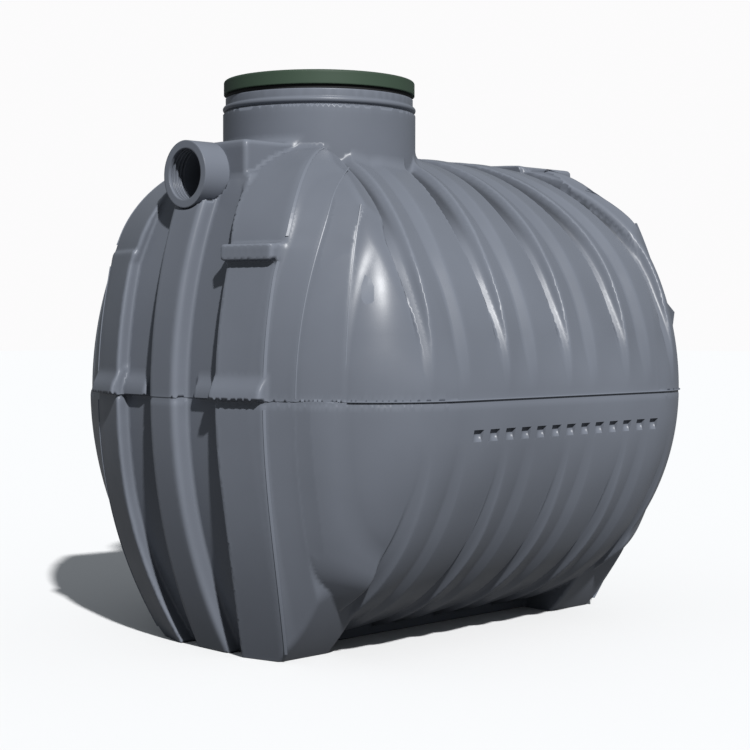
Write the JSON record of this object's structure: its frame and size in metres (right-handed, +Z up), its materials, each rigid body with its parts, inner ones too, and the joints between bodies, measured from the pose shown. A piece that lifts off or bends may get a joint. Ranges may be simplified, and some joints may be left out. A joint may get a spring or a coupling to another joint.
{
  "type": "septic tank",
  "caption": "Horizontal moulded plastic septic tank with a grooved barrel, dished ends with ribbed blocks and feet, pipe sockets and a lidded access neck.",
  "frame": {"origin": "middle of the tank on the floor, midway between the two ends and the two long sides, at the underside of the feet", "axes": "+X along the tank from the inlet end to the outlet end, +Y across it, +Z up"},
  "size_m": [1.3594, 1.116, 1.2623],
  "materials": {
    "tank_shell": "satin moulded blue-grey polyethylene",
    "block_shell": "satin moulded blue-grey polyethylene, a little darker in the channels",
    "neck_shell": "satin blue-grey polyethylene",
    "socket_shell": "satin blue-grey polyethylene",
    "lid_green": "matt dark green polyethylene",
    "seal_rubber": "black rubber ring"
  },
  "bodies": {
    "tank": {"barrel_crown": "tank_shell", "barrel_upper_left": "tank_shell", "barrel_upper_right": "tank_shell", "inlet_end_upper": "tank_shell", "outlet_end_upper": "tank_shell", "barrel_lower_left": "tank_shell", "barrel_lower_right": "tank_shell", "barrel_belly": "tank_shell", "inlet_end_lower": "tank_shell", "outlet_end_lower": "tank_shell", "seam_flange": "tank_shell", "inlet_panel_left": "block_shell", "inlet_panel_right": "block_shell", "outlet_panel_left": "block_shell", "outlet_panel_right": "block_shell", "inlet_foot_left": "block_shell", "inlet_foot_right": "block_shell", "outlet_foot_left": "block_shell", "outlet_foot_right": "block_shell", "inlet_upper_panel_left": "block_shell", "inlet_upper_panel_right": "block_shell", "outlet_upper_panel_left": "block_shell", "outlet_upper_panel_right": "block_shell", "inlet_channel_wall": "block_shell", "outlet_channel_wall": "block_shell", "inlet_shoulder": "block_shell", "outlet_shoulder": "block_shell", "inlet_centre_rib": "block_shell", "outlet_centre_rib": "block_shell", "inlet_upper_step": "block_shell", "outlet_upper_step": "block_shell", "inlet_seam_bars": "block_shell", "outlet_seam_bars": "block_shell", "inlet_socket": "socket_shell", "outlet_socket": "socket_shell", "manhole_neck": "neck_shell", "neck_collar": "neck_shell", "lid_seal": "seal_rubber"},
    "lid": {"manhole_lid": "lid_green"}
  },
  "joints": [
    {"name": "lid_lift", "type": "slide", "parent": "tank", "child": "lid", "axis": [0, 0, 1], "range_m": [0, 0.25]}
  ]
}
